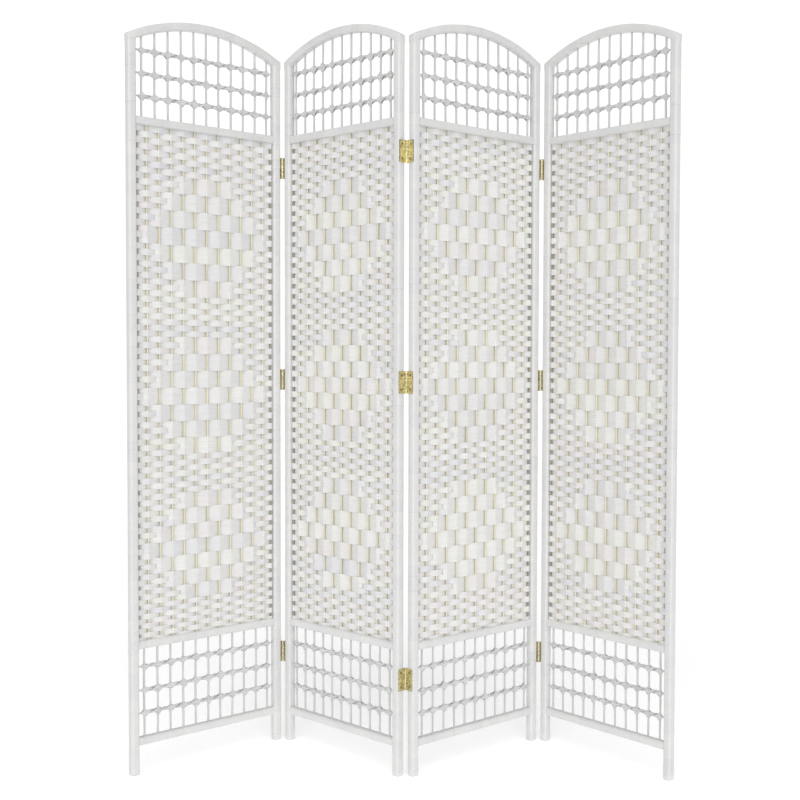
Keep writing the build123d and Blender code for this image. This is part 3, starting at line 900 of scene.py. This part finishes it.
wound_paper = paper("wound_paper", FRAME_TINTS, crease_scale=420, crease_shade=0.97,
                    fibre_depth=0.04 * MM, edge_shade=0.86)
woven_paper = paper("woven_paper", WOVEN_TINTS, crease_scale=520, crease_shade=0.93,
                    fibre_depth=0.10 * MM, edge_shade=1.0)
twined_paper = paper("twined_paper", TWINED_TINTS, crease_scale=900, crease_shade=0.68,
                     fibre_depth=0.20 * MM, edge_shade=0.95)
white_wood = wood("white_wood", *WHITE_STICK, sheen_rough=0.45, side_shade=0.9)
bare_wood = wood("bare_wood", *BARE_STICK, sheen_rough=0.5, side_shade=0.68)
brass = metal("hinge_brass", *HINGE_BRASS, rough_low=0.18, rough_high=0.36, dent_scale=520)
screw_brass = metal("screw_brass", *SCREW_BRASS, rough_low=0.3, rough_high=0.5, dent_scale=700)
steel = metal("nail_steel", *NAIL_STEEL, rough_low=0.25, rough_high=0.4, dent_scale=500)


# ---- assembly ---------------------------------------------------------------------------------
def build_panel(number):
    """All the pieces of one panel, each in place of its CAD node."""
    rng = random.Random(SEED + number)
    wound = {
        "left_post": post_net(0, rng),
        "right_post": post_net(SPAN, rng),
        "arch": arch_net(rng),
    }
    for name, box in RAIL_BOXES.items():
        wound[name] = rail_net(box, rng)
    for name, net in wound.items():
        make_piece(f"wound_{name}_{number}", net, number, wound_paper, "wound_frame", name)
    others = (
        ("white_sticks", lattice_sticks_net(rng), white_wood, "white_stick", "lattice_sticks"),
        ("bare_sticks", weave_sticks_net(rng), bare_wood, "natural_stick", "weave_sticks"),
        ("woven_field", weave_net(number, rng), woven_paper, "woven_paper", "weave"),
        ("twined_rows", lattice_rows_net(rng), twined_paper, "paper_ribbon", "lattice_rows"),
    )
    for name, net, material, slot, node in others:
        make_piece(f"{name}_{number}", net, number, material, slot, node)


def finish_node(name, material):
    """Gives a CAD node that stays in view its material."""
    node = frame["nodes"][name]
    if not node.material_slots:
        node.data.materials.append(material)
    for slot in node.material_slots:
        slot.material = material


def finish_cad_nodes():
    """Nails, hinges and screws stay as they are in CAD, with a material."""
    for number in PANELS:
        finish_node(f"panel_{number}_rail_nails", steel)
    for fold in FOLDS:
        for part in ("left_leaves", "right_leaves", "pins"):
            finish_node(f"fold_{fold}_{part}", brass)
        for part in ("left_screws", "right_screws"):
            finish_node(f"fold_{fold}_{part}", screw_brass)


# ---- floor, light and camera ------------------------------------------------------------------
FLOOR_HALF = 30.0
FLOOR_DIVISIONS = 12
FLOOR_GLOW = 0.38             # the floor is lit from inside a little, like a light table
SKY_HORIZON = 0.12            # strength of the surrounding light at eye level
SKY_ZENITH = 0.70             # and from straight above
SKY_SEEN = 1.05               # and as the camera sees it past the floor
KEY_TOWARDS = (-0.05, 0.88, -0.42)
KEY_STRENGTH = 1.75
KEY_SOFTNESS = 70             # degrees across
CAMERA_FROM_CENTRE = Vector((0.1964, -2.8651, 0.0965))
CAMERA_LENS = 55.46
CAMERA_SENSOR = 36.0
CAMERA_SHIFT_X = -0.094
CAMERA_YAW = 0.01223
CAMERA_PITCH = 0.03649
CAMERA_ROLL = 0.00446
CAMERA_CLIP = 100


def floor_material():
    """A matt white, a little uneven."""
    nodes = Nodes("pale_floor")
    place = nodes.add("ShaderNodeTexCoord").outputs["Object"]
    cloud = nodes.noise(place, scale=1.5, detail=2.0)
    tone = nodes.ramp(cloud, ((0.3, grey(0.90)), (0.7, grey(0.92))))
    nodes.put(nodes.shader.inputs["Base Color"], tone)
    nodes.shader.inputs["Roughness"].default_value = 0.9
    nodes.shader.inputs["Specular IOR Level"].default_value = 0.1
    nodes.shader.inputs["Emission Color"].default_value = (1, 1, 1, 1)
    nodes.shader.inputs["Emission Strength"].default_value = FLOOR_GLOW
    return nodes.material


def make_floor():
    """A level square under the screen, which the camera doesn't see the far edge of."""
    wide = FLOOR_DIVISIONS + 1
    ticks = np.linspace(-FLOOR_HALF, FLOOR_HALF, wide)
    points = [(x, y, 0.0) for y in ticks for x in ticks]
    corners = [row * wide + i for row in range(FLOOR_DIVISIONS) for i in range(FLOOR_DIVISIONS)]
    faces = [(c, c + 1, c + 1 + wide, c + wide) for c in corners]
    mesh = bpy.data.meshes.new("floor")
    mesh.from_pydata(points, [], faces)
    mesh.materials.append(floor_material())
    floor = bpy.data.objects.new("floor", mesh)
    bpy.context.scene.collection.objects.link(floor)


def make_world():
    """White light that is stronger from above, and an even white where the camera sees past the
    floor."""
    world = bpy.data.worlds.new("studio")
    bpy.context.scene.world = world
    world.use_nodes = True
    tree = world.node_tree
    background = tree.nodes["Background"]
    background.inputs["Color"].default_value = (1, 1, 1, 1)
    place = tree.nodes.new("ShaderNodeTexCoord")
    parts = tree.nodes.new("ShaderNodeSeparateXYZ")
    height = tree.nodes.new("ShaderNodeMapRange")
    height.inputs["To Min"].default_value = SKY_HORIZON
    height.inputs["To Max"].default_value = SKY_ZENITH
    path = tree.nodes.new("ShaderNodeLightPath")
    strength = tree.nodes.new("ShaderNodeMix")
    strength.inputs["B"].default_value = SKY_SEEN
    tree.links.new(place.outputs["Generated"], parts.inputs["Vector"])
    tree.links.new(parts.outputs["Z"], height.inputs["Value"])
    tree.links.new(height.outputs["Result"], strength.inputs["A"])
    tree.links.new(path.outputs["Is Camera Ray"], strength.inputs["Factor"])
    tree.links.new(strength.outputs["Result"], background.inputs["Strength"])


def make_key_light():
    """A soft lamp far away, in front of the screen and above it."""
    data = bpy.data.lights.new("key_light", "SUN")
    data.energy = KEY_STRENGTH
    data.angle = math.radians(KEY_SOFTNESS)
    lamp = bpy.data.objects.new("key_light", data)
    bpy.context.scene.collection.objects.link(lamp)
    lamp.rotation_mode = "QUATERNION"
    lamp.rotation_quaternion = Vector(KEY_TOWARDS).to_track_quat("-Z", "Y")


def make_camera():
    """The camera in front of the screen, a little right of its middle and above half height."""
    low, high = cad_bounds
    ahead = Vector((-math.sin(CAMERA_YAW) * math.cos(CAMERA_PITCH),
                    math.cos(CAMERA_YAW) * math.cos(CAMERA_PITCH),
                    -math.sin(CAMERA_PITCH)))
    right = Vector((math.cos(CAMERA_YAW), math.sin(CAMERA_YAW), 0))
    up = right.cross(ahead)
    turned_right = right * math.cos(CAMERA_ROLL) + up * math.sin(CAMERA_ROLL)
    turned_up = up * math.cos(CAMERA_ROLL) - right * math.sin(CAMERA_ROLL)
    data = bpy.data.cameras.new("camera")
    data.sensor_width = CAMERA_SENSOR
    data.lens = CAMERA_LENS
    data.shift_x = CAMERA_SHIFT_X
    data.clip_end = CAMERA_CLIP
    camera = bpy.data.objects.new("camera", data)
    bpy.context.scene.collection.objects.link(camera)
    matrix = Matrix((turned_right, turned_up, -ahead)).transposed().to_4x4()
    matrix.translation = (low + high) / 2 + CAMERA_FROM_CENTRE
    camera.matrix_world = matrix
    bpy.context.scene.camera = camera


make_camera()
for panel_number in PANELS:
    build_panel(panel_number)
finish_cad_nodes()
make_floor()
make_world()
make_key_light()
bpy.context.scene.view_settings.view_transform = "Standard"

bpy.context.view_layer.update()
